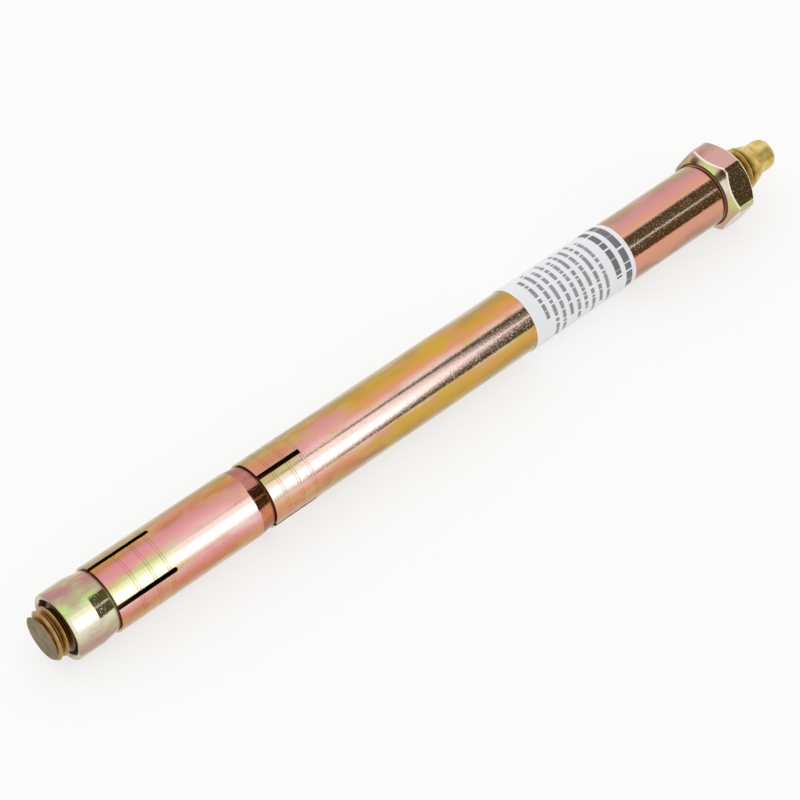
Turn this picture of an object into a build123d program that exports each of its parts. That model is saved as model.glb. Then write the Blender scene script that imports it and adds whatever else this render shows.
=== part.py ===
"""Double-expansion sleeve anchor: a long stud with a hex nut, two slotted sleeves and a cone nut.

The anchor lies along X. The origin is on its axis, at the long sleeve's end beside the hex nut, and +X
points into the drilled hole, towards the cone nut. +Z is up, with one flat of the nut facing down.
"""
import os
from math import cos, radians, sin, tan

from build123d import *

os.makedirs("parts", exist_ok=True)

# Thread and stud
thread_diameter = 10.0
thread_clearance = 0.05
shank_diameter = 8.9
shank_shoulder = 0.6
tip_thread_length = 30.0
nut_thread_inside = 28.0
tip_chamfer = 0.5

# Plain driver end of the stud, beyond the nut
thread_above_nut = 4.05
lead_cone_length = 3.1
lead_cone_end_diameter = 8.0
stub_neck_length = 0.7
stub_diameter = 6.9
stub_length = 4.75
stub_end_rounding = 1.6
driver_slot_width = 1.1
driver_slot_depth = 1.4
driver_slot_angle = -40.0

# Hex nut, run down the thread to a small gap from the sleeve
nut_gap = 0.7
nut_across_flats = 16.75
nut_across_corners = 18.6
nut_height = 7.5
nut_bearing_diameter = 14.6
nut_chamfer_angle = 38.0
nut_countersink = 0.4

# Sleeves: two tubes that slip over the stud's thread; their outside is the size of the drilled hole
sleeve_bore_clearance = 0.7
sleeve_wall = 1.3
upper_sleeve_length = 123.9
lower_sleeve_length = 33.1
sleeve_end_rounding = 0.3

# Wedges: both cones have one angle, and each seats in the taper of the mouth in front of it
cone_half_angle = 8.0
seat_clearance = 0.04
neck_exposed = 3.5
neck_engaged = 4.1
neck_bore_clearance = 0.15

# Expansion slots, sawn right across each mouth in two cuts
slot_width = 1.0
upper_slot_length = 10.1
lower_slot_length = 13.6
upper_cut_angles = (18.8, -61.2)
lower_cut_angles = (-14.3, 65.0)

# Marking grooves round the petals, measured back from each mouth
groove_depth = 0.15
upper_groove_distances = (3.1, 6.7, 9.9)
lower_groove_distances = (5.2, 8.9, 12.15)

# Cone nut
cone_exposed = 4.0
cone_engaged = 6.4
cone_nut_rim_length = 5.5
cone_nut_edge_chamfer = 0.5
cone_nut_recess_width = 1.05
cone_nut_recess_angle = 35.0
tip_projection = 3.4

# Paper label round the long sleeve
label_start = 27.0
label_length = 28.5
label_thickness = 0.1
label_glue = 0.02

# Radii and slopes that follow from the sizes above
thread_radius = thread_diameter / 2
bore_radius = thread_radius + sleeve_bore_clearance
sleeve_radius = bore_radius + sleeve_wall
nut_bore_radius = thread_radius + thread_clearance
neck_bore_radius = thread_radius + neck_bore_clearance
slope = tan(radians(cone_half_angle))

# Stations along the axis, from the nut to the tip
mouth_x = upper_sleeve_length
neck_end_x = mouth_x - neck_engaged
crease_x = mouth_x + neck_exposed
lower_mouth_x = crease_x + lower_sleeve_length
cone_end_x = lower_mouth_x - cone_engaged
cone_crease_x = lower_mouth_x + cone_exposed
cone_nut_front_x = cone_crease_x + cone_nut_rim_length
tip_x = cone_nut_front_x + tip_projection

# Stations beyond the nut, where the stud ends in its driver stub
nut_bearing_x = -nut_gap
nut_top_x = nut_bearing_x - nut_height
thread_end_x = nut_top_x - thread_above_nut
lead_cone_end_x = thread_end_x - lead_cone_length
stub_start_x = lead_cone_end_x - stub_neck_length
stub_end_x = stub_start_x - stub_length


def cone_radius(crease, x):
    """Radius at x of a cone that narrows from the full sleeve radius at its crease towards the nut."""
    return sleeve_radius - (crease - x) * slope


def across(x, angle):
    """Plane at x on the axis, facing out at an angle that is measured from +Z towards +Y."""
    outward = (0, sin(radians(angle)), cos(radians(angle)))
    return Plane(origin=(x, 0, 0), x_dir=(1, 0, 0), z_dir=outward)


upper_mouth_radius = cone_radius(crease_x, mouth_x) + seat_clearance
lower_mouth_radius = cone_radius(cone_crease_x, lower_mouth_x) + seat_clearance
upper_taper_length = (upper_mouth_radius - bore_radius) / slope
lower_taper_length = (lower_mouth_radius - bore_radius) / slope

# Stud: one turned bar with a thread at each end, stated at its outer diameter
with BuildPart() as stud:
    with BuildSketch(Plane.XZ):
        with BuildLine():
            Polyline(
                (stub_end_x, 0),
                (stub_end_x, stub_diameter / 2),
                (stub_start_x, stub_diameter / 2),
                (lead_cone_end_x, lead_cone_end_diameter / 2),
                (thread_end_x, thread_radius),
                (nut_thread_inside, thread_radius),
                (nut_thread_inside + shank_shoulder, shank_diameter / 2),
                (tip_x - tip_thread_length - shank_shoulder, shank_diameter / 2),
                (tip_x - tip_thread_length, thread_radius),
                (tip_x, thread_radius),
                (tip_x, 0),
                close=True,
            )
        make_face()
    revolve(axis=Axis.X)
    stud_ends = edges().filter_by(GeomType.CIRCLE).sort_by(Axis.X)
    fillet(stud_ends[0], stub_end_rounding)
    chamfer(stud_ends[-1], tip_chamfer)
    with BuildSketch(across(stub_end_x, driver_slot_angle)):
        Rectangle(2 * driver_slot_depth, driver_slot_width)
    extrude(amount=stub_diameter, both=True, mode=Mode.SUBTRACT)

# Hex nut, with its corners turned down and chamfered on both faces
nut_corner_radius = nut_across_corners / 2
nut_face_radius = nut_bearing_diameter / 2
corner_drop = (nut_corner_radius - nut_face_radius) * tan(radians(nut_chamfer_angle))
countersink_radius = nut_bore_radius + nut_countersink

with BuildPart() as hex_nut:
    with BuildSketch(Plane.YZ.offset(nut_top_x)):
        RegularPolygon(nut_across_flats / 2, 6, major_radius=False)
    extrude(amount=nut_height)
    with BuildSketch(Plane.XZ):
        with BuildLine():
            Polyline(
                (nut_top_x, 0),
                (nut_top_x, nut_face_radius),
                (nut_top_x + corner_drop, nut_corner_radius),
                (nut_bearing_x - corner_drop, nut_corner_radius),
                (nut_bearing_x, nut_face_radius),
                (nut_bearing_x, 0),
                close=True,
            )
        make_face()
    revolve(axis=Axis.X, mode=Mode.INTERSECT)
    with BuildSketch(Plane.XZ):
        with BuildLine():
            Polyline(
                (nut_top_x, 0),
                (nut_top_x, countersink_radius),
                (nut_top_x + nut_countersink, nut_bore_radius),
                (nut_bearing_x - nut_countersink, nut_bore_radius),
                (nut_bearing_x, countersink_radius),
                (nut_bearing_x, 0),
                close=True,
            )
        make_face()
    revolve(axis=Axis.X, mode=Mode.SUBTRACT)


def groove_centres(x, distances):
    """Places of the grooves, one at each distance back from a mouth at x."""
    return [(x - distance, sleeve_radius) for distance in distances]


# Long upper sleeve: its mouth is tapered inside and slotted, so that it spreads over the neck
with BuildPart() as upper_sleeve:
    with BuildSketch(Plane.XZ):
        with BuildLine():
            Polyline(
                (0, bore_radius),
                (0, sleeve_radius),
                (mouth_x, sleeve_radius),
                (mouth_x, upper_mouth_radius),
                (mouth_x - upper_taper_length, bore_radius),
                close=True,
            )
        make_face()
    revolve(axis=Axis.X)
    outer_edges = edges().filter_by(GeomType.CIRCLE).group_by(SortBy.RADIUS)[-1].sort_by(Axis.X)
    fillet(outer_edges[0], sleeve_end_rounding)
    with BuildSketch(Plane.XZ):
        with Locations(*groove_centres(mouth_x, upper_groove_distances)):
            RegularPolygon(groove_depth, 4)
    revolve(axis=Axis.X, mode=Mode.SUBTRACT)
    for angle in upper_cut_angles:
        with BuildSketch(across(mouth_x, angle)):
            Rectangle(2 * upper_slot_length, slot_width)
        extrude(amount=2 * sleeve_radius, both=True, mode=Mode.SUBTRACT)

# Lower sleeve: its upper end is necked to a cone that enters the upper sleeve's mouth
with BuildPart() as lower_sleeve:
    with BuildSketch(Plane.XZ):
        with BuildLine():
            Polyline(
                (neck_end_x, neck_bore_radius),
                (neck_end_x, cone_radius(crease_x, neck_end_x)),
                (crease_x, sleeve_radius),
                (lower_mouth_x, sleeve_radius),
                (lower_mouth_x, lower_mouth_radius),
                (lower_mouth_x - lower_taper_length, bore_radius),
                (crease_x, bore_radius),
                close=True,
            )
        make_face()
    revolve(axis=Axis.X)
    with BuildSketch(Plane.XZ):
        with Locations(*groove_centres(lower_mouth_x, lower_groove_distances)):
            RegularPolygon(groove_depth, 4)
    revolve(axis=Axis.X, mode=Mode.SUBTRACT)
    for angle in lower_cut_angles:
        with BuildSketch(across(lower_mouth_x, angle)):
            SlotOverall(2 * lower_slot_length, slot_width)
        extrude(amount=2 * sleeve_radius, both=True, mode=Mode.SUBTRACT)

# Cone nut: it is drawn up the lower sleeve by the thread at the stud's tip
recess_radius = nut_bore_radius + cone_nut_recess_width
recess_depth = cone_nut_recess_width / tan(radians(cone_nut_recess_angle))

with BuildPart() as cone_nut:
    with BuildSketch(Plane.XZ):
        with BuildLine():
            Polyline(
                (cone_end_x, nut_bore_radius),
                (cone_end_x, cone_radius(cone_crease_x, cone_end_x)),
                (cone_crease_x, sleeve_radius),
                (cone_nut_front_x, sleeve_radius),
                (cone_nut_front_x, recess_radius),
                (cone_nut_front_x - recess_depth, nut_bore_radius),
                close=True,
            )
        make_face()
    revolve(axis=Axis.X)
    outer_edges = edges().filter_by(GeomType.CIRCLE).group_by(SortBy.RADIUS)[-1].sort_by(Axis.X)
    chamfer(outer_edges[-1], cone_nut_edge_chamfer)

# Label: a strip of paper glued round the upper sleeve
label_inner_radius = sleeve_radius + label_glue
with BuildPart() as label:
    with BuildSketch(Plane.YZ.offset(label_start)):
        Circle(label_inner_radius + label_thickness)
        Circle(label_inner_radius, mode=Mode.SUBTRACT)
    extrude(amount=label_length)

for name, piece in {
    "stud": stud,
    "hex_nut": hex_nut,
    "upper_sleeve": upper_sleeve,
    "lower_sleeve": lower_sleeve,
    "cone_nut": cone_nut,
    "label": label,
}.items():
    piece.part.label = name
    export_step(piece.part, f"parts/{name}.step")
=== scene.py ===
"""Scene of the double-expansion sleeve anchor, lying on a white floor as in the photograph.

The frame is the CAD's: the anchor's axis is X, from the hex nut to the threaded tip, and +Z is up. Sizes
are in millimetres, and become metres in the meshes and materials.
"""
from math import cos, pi, radians, sin, tan

import bmesh
import bpy
import numpy as np
from mathutils import Matrix, Vector


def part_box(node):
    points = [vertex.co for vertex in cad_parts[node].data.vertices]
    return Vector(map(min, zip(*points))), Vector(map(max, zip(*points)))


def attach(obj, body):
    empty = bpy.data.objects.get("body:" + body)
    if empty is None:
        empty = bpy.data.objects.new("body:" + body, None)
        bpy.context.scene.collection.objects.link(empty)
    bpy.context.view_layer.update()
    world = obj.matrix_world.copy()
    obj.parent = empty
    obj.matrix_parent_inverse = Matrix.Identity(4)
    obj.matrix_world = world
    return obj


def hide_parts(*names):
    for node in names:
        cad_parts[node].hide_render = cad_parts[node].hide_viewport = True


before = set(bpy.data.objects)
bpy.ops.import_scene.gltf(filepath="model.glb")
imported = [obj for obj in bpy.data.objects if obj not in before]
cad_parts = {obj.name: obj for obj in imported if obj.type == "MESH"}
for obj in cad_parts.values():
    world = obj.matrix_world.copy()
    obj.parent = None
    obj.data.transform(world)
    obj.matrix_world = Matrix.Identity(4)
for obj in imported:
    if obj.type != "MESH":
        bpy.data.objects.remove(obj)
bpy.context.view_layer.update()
MM = 0.001

# Meshes: how near points are joined and how short an edge goes, in metres, and the angle of a sharp edge
merge_distance = 2e-7
sliver_length = 1e-8
sharp_angle = 32.0

# Threads, M10 x 1.5
thread_radius = 5.0
thread_root_radius = 4.08
pitch = 1.5
thread_columns = 128
driver_thread_phase = 0.3
tip_thread_phase = 0.6
tip_thread_fade = 0.35

# Half a turn of the thread's form: offset along the axis from the crest, and depth under it
thread_form = (
    (0.0, 0.0), (0.08, 0.015), (0.13, 0.07), (0.53, 0.78), (0.62, 0.89),
    (pitch / 2, thread_radius - thread_root_radius),
)

# Stud
shank_radius = 4.45
shank_shoulder = 0.6
tip_thread_length = 30.0
nut_thread_inside = 28.0
tip_chamfer = 0.5
lead_cone_length = 3.1
lead_cone_end_radius = 4.0
stub_neck_length = 0.7
stub_radius = 3.45
stub_length = 4.75
stub_end_rounding = 1.6
stub_root_rounding = 0.5
lead_rounding = 0.1
stub_rounding_steps = 8
driver_slot_width = 1.1
driver_slot_depth = 1.4
driver_slot_angle = -40.0

# Hex nut
nut_gap = 0.7
nut_height = 7.5
nut_half_flats = 8.375
nut_corner_radius = 9.3
nut_face_radius = 7.3
nut_chamfer_angle = 38.0
nut_corner_softness = 0.12
nut_edge_softness = 0.22
nut_overreach = 0.4
nut_face_margin = 0.3
nut_bore_radius = 5.05
nut_countersink = 0.4
nut_columns = 720
nut_chamfer_rows = 40
nut_side_rows = 16
nut_side_inset = 0.05

# Sleeves
sleeve_radius = 7.0
bore_radius = 5.7
neck_bore_radius = 5.15
sleeve_end_rounding = 0.3
sleeve_bore_rounding = 0.15
mouth_rounding = 0.12
mouth_inner_rounding = 0.05
wedge_end_rounding = 0.2
crease_rounding = 0.4
rounding_margin = 0.1
cone_half_angle = 8.0
seat_clearance = 0.04
neck_exposed = 3.5
sleeve_columns = 288

# Slots and ring grooves of the two mouths
saw_overrun = 1.0
slot_end_points = 13
slot_width = 1.0
upper_slot_length = 10.1
lower_slot_length = 13.6
upper_cut_angles = (18.8, -61.2)
lower_cut_angles = (-14.3, 65.0)
groove_depth = 0.1
groove_half_width = 0.14
groove_pair_spacing = 0.55
groove_margin = 0.06
groove_edge_rounding = 0.02
groove_root_rounding = 0.03
upper_groove_distances = (3.1, 6.7, 9.9)
lower_groove_distances = (5.2, 8.9, 12.15)

# Cone nut
cone_exposed = 4.0
cone_nut_rounding = 0.6
cone_nut_recess_width = 1.05
cone_nut_recess_angle = 35.0
recess_edge_rounding = 0.15
recess_root_rounding = 0.2

# Label
label_radius = 7.02
label_thickness = 0.09
label_edge_rounding = 0.03

# Bars on the label: middle and height along the axis, first and last angle, shade, and a word's angle
label_rows = (
    (29.0, 1.7, -84, 74, 112, 7.0),
    (31.8, 1.5, -80, 42, 108, 7.0),
    (35.2, 0.9, -60, 76, 150, 6.0),
    (37.3, 0.9, -70, 64, 142, 6.0),
    (39.4, 0.9, -66, 78, 148, 6.0),
    (41.5, 0.9, -72, 58, 142, 6.0),
    (43.5, 0.9, -58, 72, 150, 6.0),
    (45.6, 0.9, -70, 50, 146, 6.0),
    (47.7, 0.9, -62, 74, 150, 6.0),
    (49.7, 0.9, -68, 78, 146, 6.0),
    (51.8, 0.9, -58, 30, 140, 6.0),
)

# Camera, fitted to the photograph: place and reach in metres, lens and sensor in millimetres
camera_place = (0.3027, 0.2583, 0.3270)
camera_right = (-0.7363, 0.6751, -0.0462)
camera_down = (0.4960, 0.4921, -0.7154)
camera_near = 0.01
camera_far = 10.0
lens = 108.0
sensor = 36.0

# Angle round the axis that faces the camera, from +Z towards +Y
facing_angle = 38.3

# Stations along the axis, read from the frame
mouth_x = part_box("upper_sleeve")[1].x / MM
neck_end_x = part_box("lower_sleeve")[0].x / MM
lower_mouth_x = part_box("lower_sleeve")[1].x / MM
cone_end_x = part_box("cone_nut")[0].x / MM
cone_nut_front_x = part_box("cone_nut")[1].x / MM
label_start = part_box("label")[0].x / MM
label_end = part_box("label")[1].x / MM
stub_end_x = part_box("stud")[0].x / MM
tip_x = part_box("stud")[1].x / MM
crease_x = mouth_x + neck_exposed
cone_crease_x = lower_mouth_x + cone_exposed
stub_start_x = stub_end_x + stub_length
lead_cone_end_x = stub_start_x + stub_neck_length
thread_end_x = lead_cone_end_x + lead_cone_length
slope = tan(radians(cone_half_angle))


def cone_radius(crease, x):
    """Radius at x of a cone that narrows from the full sleeve radius at its crease towards the nut."""
    return sleeve_radius - (crease - x) * slope


def rounded(corners, steps=5):
    """Points of a closed profile of (x, r, rounding) corners, with each rounding as a short curve."""
    points = []
    for i, (x, r, rounding) in enumerate(corners):
        here = Vector((x, r))
        if not rounding:
            points.append(here)
            continue
        before = Vector(corners[i - 1][:2]) - here
        after = Vector(corners[(i + 1) % len(corners)][:2]) - here
        reach = rounding / tan(before.angle(after) / 2)
        start = here + before.normalized() * reach
        end = here + after.normalized() * reach
        for step in range(steps + 1):
            t = step / steps
            points.append(start * (1 - t) ** 2 + here * 2 * t * (1 - t) + end * t * t)
    return [tuple(p) for p in points]


def turned(profile, columns):
    """Rows of points round the X axis, one row for each (x, r), with the seam's points twice."""
    angles = np.linspace(0, 2 * pi, columns + 1)
    rows = np.empty((len(profile), columns + 1, 3))
    for row, (x, r) in zip(rows, profile):
        row[:, 0] = x
        row[:, 1] = r * np.sin(angles)
        row[:, 2] = r * np.cos(angles)
    return rows


def placed(name, mesh):
    """New object in the scene, with its faces turned outward and its doubled points joined."""
    work = bmesh.new()
    work.from_mesh(mesh)
    bmesh.ops.remove_doubles(work, verts=work.verts, dist=merge_distance)
    bmesh.ops.dissolve_degenerate(work, edges=work.edges, dist=sliver_length)
    bmesh.ops.recalc_face_normals(work, faces=work.faces)
    work.to_mesh(mesh)
    work.free()
    thing = bpy.data.objects.new(name, mesh)
    bpy.context.scene.collection.objects.link(thing)
    return thing


def skin(name, rows, closed=False):
    """Piece whose surface runs over rows of points; a closed one joins its last row to its first."""
    count, width = rows.shape[:2]
    index = np.arange(count * width).reshape(count, width)
    if closed:
        index = np.vstack([index, index[:1]])
    quads = np.stack([index[:-1, :-1], index[:-1, 1:], index[1:, 1:], index[1:, :-1]], axis=-1)
    mesh = bpy.data.meshes.new(name)
    mesh.from_pydata((rows.reshape(-1, 3) * MM).tolist(), [], quads.reshape(-1, 4).tolist())
    return placed(name, mesh)


def bar(outline, start, end, origin, along, outward):
    """Solid with an outline of (along, across) points from an origin, and outward from start to end."""
    along, outward = Vector(along), Vector(outward)
    across = outward.cross(along)
    mesh = bpy.data.meshes.new("cutter")
    corners = []
    for height in (start, end):
        corners += [(Vector(origin) + along * a + across * b + outward * height) * MM for a, b in outline]
    count = len(outline)
    sides = [(i, (i + 1) % count, (i + 1) % count + count, i + count) for i in range(count)]
    mesh.from_pydata(corners, [], [tuple(range(count)), tuple(range(count, 2 * count)), *sides])
    return placed("cutter", mesh)


def cut(piece, cutters):
    """Takes the cutters out of the piece, and removes them."""
    for cutter in cutters:
        modifier = piece.modifiers.new("cut", "BOOLEAN")
        modifier.operation = "DIFFERENCE"
        modifier.solver = "EXACT"
        modifier.object = cutter
    bpy.context.view_layer.update()
    shaped = piece.evaluated_get(bpy.context.evaluated_depsgraph_get())
    mesh = bpy.data.meshes.new_from_object(shaped)
    piece.modifiers.clear()
    piece.data = mesh
    for cutter in cutters:
        bpy.data.objects.remove(cutter)


def outward_at(angle):
    """Direction out from the axis, at an angle from +Z towards +Y."""
    return Vector((0, sin(radians(angle)), cos(radians(angle))))


def slot_cutter(mouth, length, angle, round_end):
    """Cutter for one saw cut right across a mouth."""
    half = slot_width / 2
    outline = [(saw_overrun, -half), (saw_overrun, half)]
    if round_end:
        turns = np.radians(np.linspace(90, 270, slot_end_points))
        outline += [(half - length + half * cos(t), half * sin(t)) for t in turns]
    else:
        outline += [(-length, half), (-length, -half)]
    reach = sleeve_radius + saw_overrun
    return bar(outline, -reach, reach, (mouth, 0, 0), (1, 0, 0), outward_at(angle))


def grooved(end, distances):
    """Corners of the outer wall back from the mouth at end, with a pair of fine grooves at each distance."""
    corners = []
    for distance in sorted(distances, reverse=True):
        middle = end - distance
        margin = groove_pair_spacing / 2 + groove_half_width + groove_margin
        corners.append((middle - margin, sleeve_radius, 0))
        for x in (middle - groove_pair_spacing / 2, middle + groove_pair_spacing / 2):
            corners += [
                (x - groove_half_width, sleeve_radius, groove_edge_rounding),
                (x, sleeve_radius - groove_depth, groove_root_rounding),
                (x + groove_half_width, sleeve_radius, groove_edge_rounding),
            ]
        corners.append((middle + margin, sleeve_radius, 0))
    return corners


def mouth_taper(mouth, crease):
    """Corners of a mouth's edge and of the taper inside it, from outside in."""
    mouth_radius = cone_radius(crease, mouth) + seat_clearance
    return [
        (mouth - mouth_rounding - rounding_margin, sleeve_radius, 0),
        (mouth, sleeve_radius, mouth_rounding),
        (mouth, mouth_radius, mouth_inner_rounding),
        (mouth - (mouth_radius - bore_radius) / slope, bore_radius, 0),
    ]


def make_upper_sleeve():
    """Long sleeve, slotted at its mouth."""
    profile = rounded([
        (0, bore_radius, sleeve_bore_rounding),
        (0, sleeve_radius, sleeve_end_rounding),
        (sleeve_end_rounding + rounding_margin, sleeve_radius, 0),
        *grooved(mouth_x, upper_groove_distances),
        *mouth_taper(mouth_x, crease_x),
    ])
    piece = skin("long_sleeve", turned(profile, sleeve_columns), closed=True)
    cut(piece, [slot_cutter(mouth_x, upper_slot_length, angle, False) for angle in upper_cut_angles])
    return piece


def make_lower_sleeve():
    """Short sleeve, slotted at its mouth and necked to a cone at its other end."""
    profile = rounded([
        (neck_end_x, neck_bore_radius, 0),
        (neck_end_x, cone_radius(crease_x, neck_end_x), wedge_end_rounding),
        (crease_x, sleeve_radius, crease_rounding),
        (crease_x + 2 * rounding_margin, sleeve_radius, 0),
        *grooved(lower_mouth_x, lower_groove_distances),
        *mouth_taper(lower_mouth_x, cone_crease_x),
        (crease_x, bore_radius, 0),
    ])
    piece = skin("short_sleeve", turned(profile, sleeve_columns), closed=True)
    cut(piece, [slot_cutter(lower_mouth_x, lower_slot_length, angle, True) for angle in lower_cut_angles])
    return piece


def make_cone_nut():
    """Cone nut, with its cone behind and a deep recess in front."""
    recess_radius = nut_bore_radius + cone_nut_recess_width
    recess_depth = cone_nut_recess_width / tan(radians(cone_nut_recess_angle))
    profile = rounded([
        (cone_end_x, nut_bore_radius, 0),
        (cone_end_x, cone_radius(cone_crease_x, cone_end_x), wedge_end_rounding),
        (cone_crease_x, sleeve_radius, crease_rounding),
        (cone_crease_x + 2 * rounding_margin, sleeve_radius, 0),
        (cone_nut_front_x - cone_nut_rounding - rounding_margin, sleeve_radius, 0),
        (cone_nut_front_x, sleeve_radius, cone_nut_rounding),
        (cone_nut_front_x, recess_radius, recess_edge_rounding),
        (cone_nut_front_x - recess_depth, nut_bore_radius, recess_root_rounding),
    ])
    return skin("cone_nut_turned", turned(profile, sleeve_columns), closed=True)


def make_label():
    """Paper label round the long sleeve."""
    outer = label_radius + label_thickness
    profile = rounded([
        (label_start, label_radius, 0),
        (label_start, outer, label_edge_rounding),
        (label_end, outer, label_edge_rounding),
        (label_end, label_radius, 0),
    ])
    return skin("paper_label", turned(profile, sleeve_columns), closed=True)


def soft_min(a, b, width):
    """Lesser of two lengths, with the corner between them rounded over a width."""
    overlap = np.maximum(width - np.abs(a - b), 0) / width
    return np.minimum(a, b) - overlap**2 * width / 4


def make_hex_nut():
    """Hex nut: a turned profile cut down to six flats, with its edges slightly rounded."""
    countersink_radius = nut_bore_radius + nut_countersink
    inner_face_radius = nut_face_radius - nut_face_margin
    reach = nut_corner_radius + nut_overreach
    width = reach - nut_face_radius
    drop = width * tan(radians(nut_chamfer_angle))
    chamfer = np.linspace(0, 1, nut_chamfer_rows)
    side = np.linspace(nut_side_inset, 1 - nut_side_inset, nut_side_rows)
    near, far = -nut_gap, -nut_gap - nut_height
    profile = [
        (near - nut_countersink, nut_bore_radius),
        (near, countersink_radius),
        (near, inner_face_radius),
    ]
    profile += [(near - drop * t, nut_face_radius + width * t) for t in chamfer]
    profile += [(near - drop + (2 * drop - nut_height) * t, reach) for t in side]
    profile += [(far + drop * (1 - t), reach - width * t) for t in chamfer]
    profile += [
        (far, inner_face_radius),
        (far, countersink_radius),
        (far + nut_countersink, nut_bore_radius),
    ]
    rows = turned(profile, nut_columns)
    angles = np.linspace(0, 2 * pi, nut_columns + 1)
    to_flat = (angles + pi / 6) % (pi / 3) - pi / 6
    hexagon = soft_min(nut_half_flats / np.cos(to_flat), nut_corner_radius, nut_corner_softness)
    radius = np.hypot(rows[:, :, 1], rows[:, :, 2])
    shaped = soft_min(radius, np.broadcast_to(hexagon, radius.shape), nut_edge_softness)
    rows[:, :, 1] *= shaped / radius
    rows[:, :, 2] *= shaped / radius
    return skin("nut_with_chamfers", rows, closed=True)


def partway(x, start, length):
    """0 up to start, 1 from a length after it, and a straight run between."""
    return np.clip((x - start) / length, 0, 1)


def thread_rows(start, end, low, high, phase):
    """Rows that follow the thread's helix from start to end, kept between a low and a high radius."""
    form = [*thread_form, *((pitch - offset, depth) for offset, depth in thread_form[-2:0:-1])]
    angles = np.linspace(0, 2 * pi, thread_columns + 1)
    first = start - 2 * pitch
    turns = int((end - first) / pitch) + 2
    rows = []
    for turn in range(turns):
        for offset, depth in form:
            x = np.clip(first + (turn + phase + angles / (2 * pi)) * pitch + offset, start, end)
            r = np.clip(thread_radius - depth, low(x), high(x))
            rows.append(np.stack([x, r * np.sin(angles), r * np.cos(angles)], axis=1))
    return np.array(rows)


def make_stud():
    """Stud, with a thread at each end, a plain shank between and a slotted stub beyond the nut."""
    stub = rounded([
        (stub_end_x, 0, 0),
        (stub_end_x, stub_radius, stub_end_rounding),
        (stub_start_x, stub_radius, stub_root_rounding),
        (lead_cone_end_x, lead_cone_end_radius, lead_rounding),
        (thread_end_x, thread_radius, 0),
    ], stub_rounding_steps)[:-1]
    stub = [(x, max(r, 0.0)) for x, r in stub]
    lead_slope = (thread_radius - lead_cone_end_radius) / lead_cone_length
    lead_start = thread_end_x - (thread_radius - thread_root_radius) / lead_slope
    inner_end = nut_thread_inside + shank_shoulder
    tip_thread_start = tip_x - tip_thread_length - shank_shoulder

    def driver_low(x):
        run_out = partway(x, nut_thread_inside, shank_shoulder)
        return thread_root_radius + (shank_radius - thread_root_radius) * run_out

    def driver_high(x):
        lead = thread_root_radius + (x - lead_start) * lead_slope
        run_out = partway(x, nut_thread_inside, shank_shoulder)
        return np.minimum(lead, thread_radius - (thread_radius - shank_radius) * run_out)

    def tip_low(x):
        run_in = partway(x, tip_thread_start, shank_shoulder)
        root = shank_radius + (thread_root_radius - shank_radius) * run_in
        run_out = partway(x, tip_x - tip_chamfer, tip_thread_fade)
        return root + (thread_radius - tip_chamfer - root) * run_out

    def tip_high(x):
        run_in = partway(x, tip_thread_start, shank_shoulder)
        chamfer = thread_radius - tip_chamfer + (tip_x - x)
        return np.minimum(shank_radius + (thread_radius - shank_radius) * run_in, chamfer)

    rows = np.concatenate([
        turned(stub, thread_columns),
        thread_rows(lead_start, inner_end, driver_low, driver_high, driver_thread_phase),
        thread_rows(tip_thread_start, tip_x, tip_low, tip_high, tip_thread_phase),
        turned([(tip_x, thread_radius - tip_chamfer - rounding_margin), (tip_x, 0)], thread_columns),
    ])
    piece = skin("stud_threaded", rows)
    half = driver_slot_width / 2
    outline = [
        (-saw_overrun, -half), (driver_slot_depth, -half), (driver_slot_depth, half), (-saw_overrun, half)]
    reach = stub_radius + saw_overrun
    cut(piece, [bar(outline, -reach, reach, (stub_end_x, 0, 0), (1, 0, 0), outward_at(driver_slot_angle))])
    return piece


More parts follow.
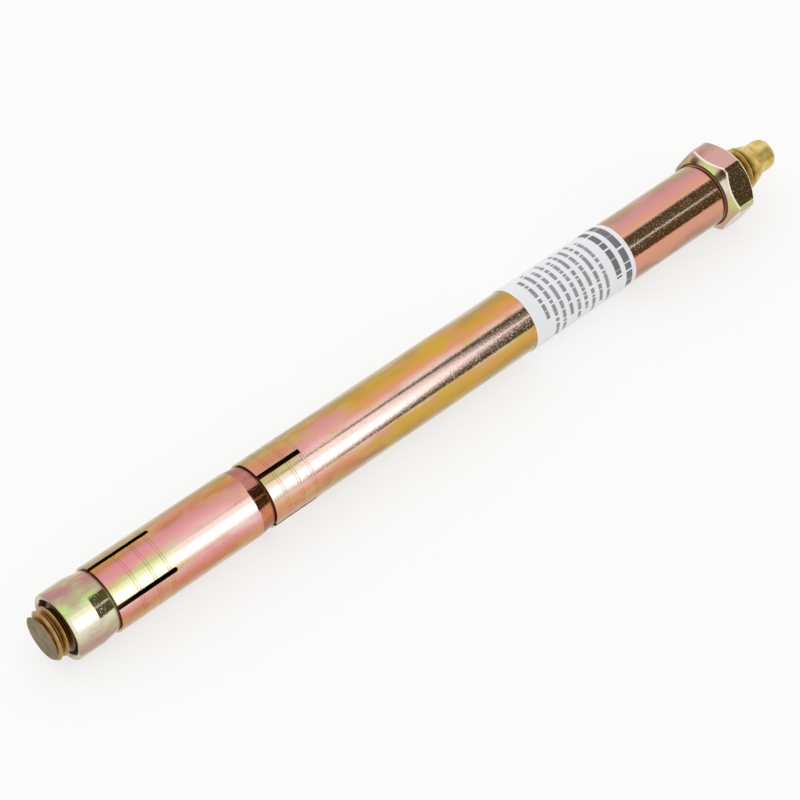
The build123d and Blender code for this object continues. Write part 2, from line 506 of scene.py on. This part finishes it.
class Graph:
    """Node tree of a material or a world, with short ways to add and join nodes."""

    def __init__(self, tree):
        self.tree = tree
        self.tree.nodes.clear()

    def add(self, kind, values=None, **settings):
        """New node; values are numbers, colours or sockets, by input name or number."""
        node = self.tree.nodes.new(kind)
        for key, value in settings.items():
            setattr(node, key, value)
        for key, value in (values or {}).items():
            if isinstance(value, bpy.types.NodeSocket):
                self.tree.links.new(value, node.inputs[key])
            else:
                node.inputs[key].default_value = value
        return node

    def math(self, operation, a, b=0.0, c=0.0):
        """Output of a math node."""
        return self.add("ShaderNodeMath", {0: a, 1: b, 2: c}, operation=operation).outputs[0]

    def product(self, value, *factors):
        """Value multiplied by each factor."""
        for factor in factors:
            value = self.math("MULTIPLY", value, factor)
        return value

    def length(self, a, b):
        """Length of the line with parts a and b."""
        return self.math("SQRT", self.math("ADD", self.product(a, a), self.product(b, b)))

    def angle(self, a, b):
        """Angle in degrees of the line with parts a and b, from b towards a."""
        return self.product(self.math("ARCTAN2", a, b), 180 / pi)

    def smooth(self, value, low, high):
        """Smooth step from 0, where the value is low, to 1, where it is high."""
        values = {"Value": value, "From Min": low, "From Max": high}
        return self.add("ShaderNodeMapRange", values, interpolation_type="SMOOTHSTEP").outputs["Result"]

    def fade(self, length, low, high):
        """Smooth step of a length, between a low and a high in millimetres."""
        return self.smooth(length, low * MM, high * MM)

    def noise(self, vector, scale, detail=2.0, roughness=0.5):
        """Noise of about 0 to 1 at a point."""
        values = {"Vector": vector, "Scale": scale, "Detail": detail, "Roughness": roughness}
        return self.add("ShaderNodeTexNoise", values).outputs["Fac"]

    def mapped(self, vector, scale):
        """Vector stretched by a scale along each axis."""
        return self.add("ShaderNodeMapping", {"Vector": vector, "Scale": scale}).outputs["Vector"]

    def mix(self, factor, a, b):
        """Two colours mixed."""
        node = self.add("ShaderNodeMix", data_type="RGBA")
        for socket, value in zip((node.inputs[0], node.inputs[6], node.inputs[7]), (factor, a, b)):
            if isinstance(value, bpy.types.NodeSocket):
                self.tree.links.new(value, socket)
            else:
                socket.default_value = value
        return node.outputs[2]

    def ramp(self, value, stops):
        """Colour ramp of (place, sRGB colour) stops."""
        node = self.add("ShaderNodeValToRGB", {"Fac": value})
        ramp = node.color_ramp
        while len(ramp.elements) < len(stops):
            ramp.elements.new(0.5)
        for element, (place, colour) in zip(ramp.elements, stops):
            element.position = place
            element.color = display(colour)
        return node.outputs["Color"]


def display(colour):
    """Linear colour of an sRGB colour of 0 to 255."""
    linear = [c / 255 / 12.92 if c < 10 else ((c / 255 + 0.055) / 1.055) ** 2.4 for c in colour]
    return (*linear, 1.0)


# Colours that the plating's film goes through; the palest of them carry painted light
MAUVE = (188, 136, 128)
ROSE = (210, 146, 146)
PINK = (230, 160, 160)
BLUSH = (222, 160, 130)
SALMON = (224, 152, 118)
# Pale film where the bright streak falls: partly the film's colour, partly a painted highlight
PEACH_HIGHLIGHT = (240, 210, 200)
AMBER = (190, 146, 66)
GOLD = (208, 158, 72)
STRAW = (208, 174, 92)
OLIVE = (168, 150, 96)
RUST = (196, 126, 92)
UMBER = (164, 124, 92)
# Pale film where the cone nut's bright streak falls: partly the film's colour, partly a painted highlight
CREAM_HIGHLIGHT = (232, 226, 190)
BROWN = (150, 92, 66)
# Pale film at a piece's upper and lower edges: a painted sheen of the bright surroundings at a glancing angle
PEARL_SHEEN = (208, 190, 156)

# Painted light and shade: a highlight on the hex nut's creases, a glint on its bearing face, shade in mouths,
# bores and the cone nut; and the stud tip's brown
# Painted highlight along the hex nut's chamfer creases
CREASE_HIGHLIGHT = (250, 246, 226)
# Painted glint on the hex nut's bearing face
GLINT = (255, 226, 180)
# Painted shade where a piece sits in another piece's mouth, and painted shade inside the bores and hollows
COVERED_SHADE = (92, 60, 38)
INNER_SHADE = (58, 38, 20)
TIP_BROWN = (146, 106, 66)
SHADE = (62, 42, 18)

# Plating's noise: stretches and scales are per metre, and film_drift is how far it shifts the film's colours
streak_stretch = (60, 170, 170)
blotch_scale = 110.0
blotch_weight = 0.8
film_drift = 0.1
grain_stretch = (2400, 4600, 4600)
speckle_levels = (0.55, 0.7)
speckle_roughness = 0.28
plating_roughness = 0.09
plating_bump = 0.08

# Patches of other colours: stretch, scale, levels and share of each kind, and the clear stretch between them
patch_kinds = (
    ((110, 250, 250), 1.0, (0.46, 0.68), 0.7),
    ((90, 220, 220), 1.3, (0.48, 0.7), 0.65),
)
clear_middle = 0.56
clear_reach = (0.06, 0.18)

# Painted shade fades out over these lengths, along the axis and outwards
covered_fade = 0.9
inside_fade = 0.1
shade_edge = 0.1
shade_roughness = 0.5

# Hex nut's painted light: how far in from the flats and the chamfer its painted crease highlight reaches, and
# painted rings of light and shade on its dull bearing face
highlight_from_flat = (0.3, 0.12)
highlight_from_chamfer = (0.34, 0.16)
highlight_share = 0.9
highlight_roughness = 0.5
dull_depth = (0.06, 0.02)
dull_roughness = 0.7
rings_start = 6.0
rings_width = 1.5
# Painted rings on the bearing face, in the gap by the sleeve's end: brown shade, a pale glint, and brown
# shade again
painted_ring_tones = [(0.3, RUST), (0.42, GLINT), (0.56, GLINT), (0.64, BROWN)]

# Stud's tones, by its blotches, with painted shade in the thread's roots and inside the cone nut, and where
# it is brown
stud_blotch_scale = 420.0
stud_grain_scale = 2600.0
stud_roughness = 0.4
stud_bump = 0.3
crest_tones = [(0.35, (190, 156, 76)), (0.5, (218, 190, 104)), (0.65, (226, 210, 142))]
root_shade_tones = [(0.35, (88, 66, 30)), (0.6, (134, 110, 56))]
tip_face_tones = [(0.35, (98, 84, 38)), (0.5, (122, 102, 54)), (0.65, (140, 110, 74))]
crest_radii = (4.1, 4.85)
stub_tone_reach = (0.3, 1.1)
tip_brown_reach = 1.0
tip_brown_share = 0.55
shade_reach = 0.6
shade_share = 0.75
tip_face_depths = (0.06, 0.02)

# Paper and the bars on it
PAPER = (238, 238, 241)
bar_softness = 0.1
bar_end_softness = 0.5
bar_blueness = 4
word_levels = (0.36, 0.4)
row_shift = 7.3
paper_stretch = (60, 260, 260)
paper_roughness = 0.5
paper_bump = 0.25

# Depths of bumps, in metres
metal_bump_depth = 0.0001
paper_bump_depth = 0.001


def new_material(name):
    """New material, and the graph of its nodes."""
    material = bpy.data.materials.new(name)
    material.use_nodes = True
    return material, Graph(material.node_tree)


def object_place(graph):
    """Object coordinates, and their parts."""
    point = graph.add("ShaderNodeTexCoord").outputs["Object"]
    return point, graph.add("ShaderNodeSeparateXYZ", {0: point}).outputs


def sine_from_facing(graph, parts, radius):
    """Sine of the angle round the axis from the side that faces the camera."""
    outward = graph.product(parts["Y"], cos(radians(facing_angle)))
    upward = graph.product(parts["Z"], sin(radians(facing_angle)))
    down = graph.math("SUBTRACT", outward, upward)
    return graph.math("DIVIDE", down, graph.math("MAXIMUM", radius, 0.5 * MM))


def finish_surface(graph, colour, metallic, roughness, relief, bump_strength, bump_depth):
    """Ends a material's graph in a surface with a colour, a gloss, and a bump from a relief."""
    bump = graph.add("ShaderNodeBump", {"Strength": bump_strength, "Distance": bump_depth, "Height": relief})
    surface = graph.add("ShaderNodeBsdfPrincipled", {
        "Base Color": colour, "Metallic": metallic, "Roughness": roughness, "Normal": bump.outputs["Normal"]})
    graph.add("ShaderNodeOutputMaterial", {"Surface": surface.outputs[0]})


def plated(name, films, covered=None, inside=None, hexagonal=False):
    """Yellow-passivated zinc, whose film changes colour round the axis and along it.

    Each film is (start, end, waver, stops, patches) in millimetres: it takes over between start and end, at
    an edge that wavers, and has patches of two more colours. Shade is painted before the covered x, where the
    piece sits in another piece's mouth, and nearer to the axis than inside, in its bore and hollows. A
    hexagonal piece has the hex nut's painted crease highlight and painted light and shade on its bearing
    face.
    """
    material, graph = new_material(name)
    point, parts = object_place(graph)
    radius = graph.length(parts["Y"], parts["Z"])
    streaks = graph.noise(graph.mapped(point, streak_stretch), 1.0, 3.0, 0.6)
    blotches = graph.noise(point, blotch_scale, 3.0)
    wander = graph.math(
        "ADD", graph.math("SUBTRACT", streaks, 0.5),
        graph.product(graph.math("SUBTRACT", blotches, 0.5), blotch_weight))
    plain = graph.math("MULTIPLY_ADD", sine_from_facing(graph, parts, radius), 0.5, 0.5)
    place = graph.math("MULTIPLY_ADD", wander, film_drift, plain)
    off_middle = graph.math("ABSOLUTE", graph.math("SUBTRACT", plain, clear_middle))
    patchy = graph.smooth(off_middle, *clear_reach)
    shares = []
    for stretch, scale, levels, share in patch_kinds:
        spots = graph.noise(graph.mapped(point, stretch), scale, 4.0, 0.6)
        shares.append(graph.product(graph.smooth(spots, *levels), patchy, share))
    colour = None
    for start, end, waver, stops, patches in films:
        film = graph.ramp(place, stops)
        for share, patch in zip(shares, patches):
            film = graph.mix(share, film, display(patch))
        if colour is None:
            colour = film
        else:
            shifted = graph.math("MULTIPLY_ADD", wander, waver * MM, parts["X"])
            colour = graph.mix(graph.fade(shifted, start, end), colour, film)
    grain = graph.noise(graph.mapped(point, grain_stretch), 1.0, 3.0, 0.6)
    speckle = graph.smooth(grain, *speckle_levels)
    shine = graph.math("MULTIPLY_ADD", speckle, speckle_roughness, plating_roughness)
    # Painted shade: darker where the piece sits in another piece's mouth, and near the axis in its bore and
    # hollows
    painted_shades = ((parts["X"], covered, covered_fade, COVERED_SHADE), (radius, inside, inside_fade, INNER_SHADE))
    for length, limit, reach, shade_tone in painted_shades:
        if limit is not None:
            in_shade = graph.fade(length, limit + reach, limit - shade_edge)
            colour = graph.mix(in_shade, colour, display(shade_tone))
            shine = graph.math("MAXIMUM", shine, graph.product(in_shade, shade_roughness))
    if hexagonal:
        colour, shine = nut_painted_light(graph, parts, radius, colour, shine)
    finish_surface(graph, colour, 1.0, shine, grain, plating_bump, metal_bump_depth)
    return material


def nut_painted_light(graph, parts, radius, colour, shine):
    """Colour and roughness of the hex nut, with a painted highlight along its chamfers' creases, and painted
    rings of light and shade on its dull bearing face.
    """
    reach = graph.math("ABSOLUTE", parts["Z"])
    for side in (-1, 1):
        sideways = graph.product(parts["Y"], side * sin(pi / 3))
        leaning = graph.math("MULTIPLY_ADD", parts["Z"], cos(pi / 3), sideways)
        reach = graph.math("MAXIMUM", reach, graph.math("ABSOLUTE", leaning))
    middle = (-nut_gap - nut_height / 2) * MM
    off_middle = graph.math("ABSOLUTE", graph.math("SUBTRACT", parts["X"], middle))
    depth = graph.math("SUBTRACT", nut_height / 2 * MM, off_middle)
    chamfer = graph.math("MULTIPLY_ADD", depth, 1 / tan(radians(nut_chamfer_angle)), nut_face_radius * MM)
    # Painted highlight: a near-white stripe along the creases where the chamfers meet the flats
    crease_highlight = graph.product(
        graph.fade(reach, *(nut_half_flats - inset for inset in highlight_from_flat)),
        graph.fade(graph.math("SUBTRACT", chamfer, radius), *highlight_from_chamfer))
    colour = graph.mix(graph.product(crease_highlight, highlight_share), colour, display(CREASE_HIGHLIGHT))
    shine = graph.math("MAXIMUM", shine, graph.product(crease_highlight, highlight_roughness))
    dull = graph.fade(depth, *dull_depth)
    # Painted light and shade on the bearing face, in rings by radius
    rings = graph.math("MULTIPLY_ADD", radius, 1 / (rings_width * MM), -rings_start / rings_width)
    colour = graph.mix(dull, colour, graph.ramp(rings, painted_ring_tones))
    return colour, graph.math("MAXIMUM", shine, graph.product(dull, dull_roughness))


def brass_toned():
    """Duller zinc of the stud, with painted shade down in the thread and inside the cone nut."""
    material, graph = new_material("brassy_zinc")
    point, parts = object_place(graph)
    x = parts["X"]
    blotches = graph.noise(point, stud_blotch_scale, 4.0, 0.6)
    on_crest = graph.fade(graph.length(parts["Y"], parts["Z"]), *crest_radii)
    on_stub = graph.fade(x, *(thread_end_x - reach for reach in stub_tone_reach))
    # Painted shade: the thread's roots darker than its crests
    colour = graph.mix(
        graph.math("MAXIMUM", on_crest, on_stub), graph.ramp(blotches, root_shade_tones),
        graph.ramp(blotches, crest_tones))
    near_tip = graph.fade(x, cone_end_x, cone_end_x + tip_brown_reach)
    colour = graph.mix(graph.product(near_tip, tip_brown_share), colour, display(TIP_BROWN))
    # Painted shade inside the cone nut's recess
    in_nut = graph.fade(x, cone_nut_front_x + shade_reach, cone_nut_front_x)
    colour = graph.mix(graph.product(near_tip, in_nut, shade_share), colour, display(SHADE))
    on_face = graph.fade(x, *(tip_x - depth for depth in tip_face_depths))
    colour = graph.mix(on_face, colour, graph.ramp(blotches, tip_face_tones))
    grain = graph.noise(point, stud_grain_scale, 3.0)
    finish_surface(graph, colour, 1.0, stud_roughness, grain, stud_bump, metal_bump_depth)
    return material


def paper():
    """White paper with plain grey bars, in rows round the axis, where the print is."""
    material, graph = new_material("printed_paper")
    point, parts = object_place(graph)
    turn = graph.math("SUBTRACT", graph.angle(parts["Y"], parts["Z"]), facing_angle)
    colour = display(PAPER)
    for row, (middle, height, first, last, shade, word) in enumerate(label_rows):
        off_row = graph.math("ABSOLUTE", graph.math("SUBTRACT", parts["X"], middle * MM))
        on_row = graph.fade(off_row, height / 2 + bar_softness, height / 2 - bar_softness)
        begun = graph.smooth(turn, first - bar_end_softness, first + bar_end_softness)
        not_over = graph.smooth(turn, last + bar_end_softness, last - bar_end_softness)
        place = graph.math("MULTIPLY_ADD", turn, 1 / word, row_shift * row)
        values = {"W": place, "Detail": 1.0, "Scale": 1.0}
        words = graph.add("ShaderNodeTexNoise", values, noise_dimensions="1D").outputs["Fac"]
        ink = graph.product(on_row, begun, not_over, graph.smooth(words, *word_levels))
        colour = graph.mix(ink, colour, display((shade, shade, shade + bar_blueness)))
    ripples = graph.noise(graph.mapped(point, paper_stretch), 1.0, 2.0)
    finish_surface(graph, colour, 0.0, paper_roughness, ripples, paper_bump, paper_bump_depth)
    return material


# Studio light, by two angles in degrees: across goes round the anchor's axis, and back is the lean towards
# the hex nut from square to the axis. A slope of four numbers is two places back, and the values at both.
WHITE = (1, 1, 1, 1)
DARK = (0.088, 0.08, 0.034, 1)
across_zero = facing_angle + 14.0
band_low = (36.0, 22.0, -42.0, -21.0)
band_high = 39.0
band_softness = 2.0
band_begins = (8.0, 16.0, 0.0, 1.0)
band_ends = (65.0, 50.0, 0.0, 1.0)
wedge_low = (30.7, 28.0, -1.5, -22.0)
wedge_high = (30.7, 24.4, 1.5, 38.5)
wedge_softness = 1.2
wedge_strength = 1.15
wedge_ends = (15.0, 10.0, 1.0, 0.0)
core_edges = (3.0, 23.0)
core_softness = 11.0
core_strength = 1.7
core_begins = (29.5, 24.5, 0.0, 1.0)
spot_edges = (-56.0, -16.0)
spot_softness = 3.0
spot_begins = (-58.0, -62.0, 0.0, 1.0)
spot_ends = (-76.0, -72.0, 0.0, 1.0)


def studio_light():
    """World that lights the anchor from all round: white, with a dark band on the camera's side.

    In the band lies a bright wedge with a brighter core, and beyond the anchor's tip lies a small dark spot.
    The polished plating mirrors them as its dark stripe, its bright streak and a few dark patches.
    """
    world = bpy.data.worlds.new("studio")
    bpy.context.scene.world = world
    world.use_nodes = True
    graph = Graph(world.node_tree)
    direction = graph.add("ShaderNodeTexCoord").outputs["Generated"]
    parts = graph.add("ShaderNodeSeparateXYZ", {0: direction}).outputs
    across = graph.math("SUBTRACT", graph.angle(parts["Y"], parts["Z"]), across_zero)
    back = graph.angle(graph.product(parts["X"], -1.0), graph.length(parts["Y"], parts["Z"]))

    def slope_at(first, last, start, end):
        values = {"Value": back, "From Min": first, "From Max": last, "To Min": start, "To Max": end}
        return graph.add("ShaderNodeMapRange", values).outputs["Result"]

    def between(low, high, softness):
        above = graph.smooth(graph.math("SUBTRACT", across, low), -softness, softness)
        below = graph.smooth(graph.math("SUBTRACT", high, across), -softness, softness)
        return graph.product(above, below)

    band = graph.product(
        between(slope_at(*band_low), band_high, band_softness),
        slope_at(*band_begins), slope_at(*band_ends))
    wedge = graph.product(between(slope_at(*wedge_low), slope_at(*wedge_high), wedge_softness), band)
    spot = graph.product(
        between(*spot_edges, spot_softness), slope_at(*spot_begins), slope_at(*spot_ends))
    fading = slope_at(*wedge_ends)
    core = graph.product(between(*core_edges, core_softness), slope_at(*core_begins), fading)
    glow = graph.product(graph.math("MULTIPLY_ADD", core, core_strength, wedge_strength - 1.0), fading)
    colour = graph.mix(graph.math("MAXIMUM", band, spot), WHITE, DARK)
    colour = graph.mix(wedge, colour, WHITE)
    level = graph.math("MULTIPLY_ADD", wedge, glow, 1.0)
    studio = graph.add("ShaderNodeBackground", {"Color": colour, "Strength": level})
    backdrop = graph.add("ShaderNodeBackground", {"Color": WHITE, "Strength": 1.0})
    seen = graph.add("ShaderNodeLightPath").outputs["Is Camera Ray"]
    both = graph.add("ShaderNodeMixShader", {0: seen, 1: studio.outputs[0], 2: backdrop.outputs[0]})
    graph.add("ShaderNodeOutputWorld", {"Surface": both.outputs[0]})


# Floor: a pale sheet, shown nearly white to the camera and to reflections
FLOOR = (0.97, 0.97, 0.97, 1)
floor_reach = 900.0
floor_roughness = 0.9
floor_white_share = 0.7


def make_floor():
    """White floor under the hex nut's lower flat and the cone nut's rim, which the anchor rests on."""
    near_x, near_z = -nut_gap - nut_height / 2, -nut_half_flats
    rise = (-sleeve_radius - near_z) / (cone_nut_front_x - near_x)
    reach = floor_reach
    plan = ((-reach, -reach), (reach, -reach), (reach, reach), (-reach, reach))
    corners = [Vector((x, y, near_z + (x - near_x) * rise)) * MM for x, y in plan]
    mesh = bpy.data.meshes.new("floor")
    mesh.from_pydata(corners, [], [(0, 1, 2, 3)])
    floor = bpy.data.objects.new("floor", mesh)
    bpy.context.scene.collection.objects.link(floor)
    material, graph = new_material("white_floor")
    surface = graph.add("ShaderNodeBsdfPrincipled", {"Base Color": FLOOR, "Roughness": floor_roughness})
    white = graph.add("ShaderNodeEmission", {"Color": WHITE, "Strength": 1.0})
    path = graph.add("ShaderNodeLightPath").outputs
    shown = graph.math("MAXIMUM", path["Is Camera Ray"], path["Is Glossy Ray"])
    share = graph.product(shown, floor_white_share)
    both = graph.add("ShaderNodeMixShader", {0: share, 1: surface.outputs[0], 2: white.outputs[0]})
    graph.add("ShaderNodeOutputMaterial", {"Surface": both.outputs[0]})
    mesh.materials.append(material)


def make_camera():
    """Camera at the photograph's place and angle."""
    data = bpy.data.cameras.new("camera")
    data.lens = lens
    data.sensor_width = sensor
    data.clip_start = camera_near
    data.clip_end = camera_far
    camera = bpy.data.objects.new("camera", data)
    right = Vector(camera_right).normalized()
    up = -Vector(camera_down).normalized()
    up = (up - right * up.dot(right)).normalized()
    turn = Matrix((right, up, right.cross(up))).transposed()
    camera.matrix_world = Matrix.Translation(camera_place) @ turn.to_4x4()
    bpy.context.scene.collection.objects.link(camera)
    bpy.context.scene.camera = camera


def dress(piece, material, body, node):
    """Finishes a piece: its material, its shading, the CAD body it joins, and the CAD node it stands for,
    which is hidden.
    """
    piece.data.materials.clear()
    piece.data.materials.append(material)
    piece.data.shade_smooth()
    piece.data.set_sharp_from_angle(angle=radians(sharp_angle))
    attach(piece, body)
    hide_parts(node)


# Colours of each film round the axis, from a piece's upper edge, as the camera sees it, to its lower edge.
# The pale stops in the middle, where the bright streak falls, are partly a painted highlight, and the pale
# stops at both edges of the sleeves' and cone nut's films are a painted sheen.
long_near = [
    (0, PEARL_SHEEN), (0.04, OLIVE), (0.1, MAUVE), (0.19, ROSE), (0.34, BLUSH), (0.52, PEACH_HIGHLIGHT), (0.7, BLUSH),
    (0.86, (216, 150, 126)), (0.95, UMBER), (1, PEARL_SHEEN),
]
long_middle = [
    (0, PEARL_SHEEN), (0.05, OLIVE), (0.12, AMBER), (0.22, GOLD), (0.32, SALMON), (0.44, PEACH_HIGHLIGHT), (0.68, PEACH_HIGHLIGHT),
    (0.76, STRAW), (0.84, GOLD), (0.9, AMBER), (0.96, OLIVE), (1, PEARL_SHEEN),
]
long_end = [
    (0, PEARL_SHEEN), (0.05, OLIVE), (0.13, AMBER), (0.2, ROSE), (0.34, PINK), (0.46, PEACH_HIGHLIGHT), (0.7, PEACH_HIGHLIGHT),
    (0.8, SALMON), (0.88, RUST), (0.95, UMBER), (1, PEARL_SHEEN),
]
long_mouth = [
    (0, PEARL_SHEEN), (0.05, OLIVE), (0.14, (204, 150, 92)), (0.26, (206, 136, 118)), (0.36, (198, 178, 112)),
    (0.45, (208, 206, 144)), (0.53, PEACH_HIGHLIGHT), (0.7, PEACH_HIGHLIGHT), (0.8, SALMON), (0.9, (208, 134, 106)), (1, PEARL_SHEEN),
]
short_film = [
    (0, PEARL_SHEEN), (0.05, OLIVE), (0.11, AMBER), (0.18, RUST), (0.25, ROSE), (0.35, PINK), (0.5, PEACH_HIGHLIGHT),
    (0.72, PEACH_HIGHLIGHT), (0.79, PINK), (0.88, (208, 130, 98)), (0.95, (190, 134, 84)), (1, PEARL_SHEEN),
]
short_mouth = [
    (0, PEARL_SHEEN), (0.05, OLIVE), (0.11, AMBER), (0.18, RUST), (0.25, ROSE), (0.36, PINK),
    (0.43, (204, 198, 132)), (0.52, (226, 228, 180)), (0.68, (228, 224, 180)), (0.76, PEACH_HIGHLIGHT), (0.8, PINK),
    (0.88, (208, 130, 98)), (0.95, (190, 134, 84)), (1, PEARL_SHEEN),
]
# Darker, browner film for the short sleeve's neck in the long sleeve's mouth, and for the long sleeve's end
# by the nut: painted shade
shaded_neck_film = [
    (0.04, BROWN), (0.15, (196, 124, 124)), (0.38, (204, 134, 128)), (0.52, BROWN), (0.66, (204, 130, 94)),
    (0.82, (210, 130, 90)), (0.95, BROWN),
]
cone_film = [
    (0, PEARL_SHEEN), (0.05, MAUVE), (0.14, (184, 130, 130)), (0.25, (182, 156, 132)), (0.31, (190, 204, 142)),
    (0.4, (200, 224, 152)), (0.5, CREAM_HIGHLIGHT), (0.72, (232, 228, 204)), (0.82, (208, 200, 168)),
    (0.89, (192, 164, 142)), (0.96, (172, 140, 120)), (1, PEARL_SHEEN),
]
nut_film = [
    (0.02, (170, 150, 124)), (0.08, MAUVE), (0.14, (214, 156, 156)), (0.34, (216, 164, 156)),
    (0.41, (200, 156, 140)), (0.48, (206, 180, 160)), (0.78, (206, 176, 156)), (0.86, (196, 200, 128)),
    (0.93, (196, 158, 146)), (1, (192, 164, 146)),
]
# Film of the chamfer by the sleeve: its dark stops near the upper edge are a painted dark reflection, and its
# pale middle is partly a painted highlight
nut_chamfer_film = [
    (0, (176, 150, 122)), (0.015, (120, 100, 78)), (0.035, (52, 42, 26)), (0.055, (60, 50, 32)),
    (0.1, (170, 158, 112)), (0.16, (196, 206, 130)), (0.36, (206, 218, 140)), (0.5, (230, 214, 200)),
    (0.7, (226, 216, 180)), (0.84, (196, 206, 110)), (0.92, (200, 172, 140)), (1, (192, 164, 146)),
]

# Films along each piece, as plated takes them
long_films = [
    (0, 0, 0, shaded_neck_film, (BROWN, BROWN)),
    (0.1, 0.7, 0, long_near, ((206, 164, 120), (214, 140, 148))),
    (30, 50, 20, long_middle, ((206, 172, 52), (216, 146, 116))),
    (92, 104, 20, long_end, ((204, 176, 90), (220, 146, 144))),
    (111, 117, 12, long_mouth, ((190, 188, 104), (216, 146, 132))),
]
short_films = [
    (0, 0, 0, shaded_neck_film, (BROWN, BROWN)),
    (crease_x - 0.4, crease_x, 0, short_film, ((208, 170, 116), (224, 142, 144))),
    (141, 151, 10, short_mouth, ((208, 170, 116), (224, 142, 144))),
]
cone_films = [(0, 0, 0, cone_film, ((190, 216, 138), (184, 138, 138)))]
nut_films = [
    (0, 0, 0, nut_film, ((206, 170, 150), (216, 150, 158))),
    (-1.8, -1.2, 0, nut_chamfer_film, ((206, 170, 150), (190, 190, 120))),
]

# Radii inside which the turned pieces carry painted shade, in their bores and hollows
long_shade_radius = 6.6
short_shade_radius = 6.52
cone_shade_radius = 5.9

dress(make_upper_sleeve(), plated("long_plating", long_films, inside=long_shade_radius),
      "upper_sleeve", "upper_sleeve")
dress(make_lower_sleeve(), plated("short_plating", short_films, covered=mouth_x, inside=short_shade_radius),
      "lower_sleeve", "lower_sleeve")
dress(make_cone_nut(), plated("cone_plating", cone_films, covered=lower_mouth_x, inside=cone_shade_radius),
      "cone_nut", "cone_nut")
dress(make_hex_nut(), plated("nut_plating", nut_films, hexagonal=True),
      "hex_nut", "hex_nut")
dress(make_stud(), brass_toned(), "stud", "stud")
dress(make_label(), paper(), "upper_sleeve", "label")
make_floor()
studio_light()
make_camera()
bpy.context.scene.view_settings.view_transform = "Standard"
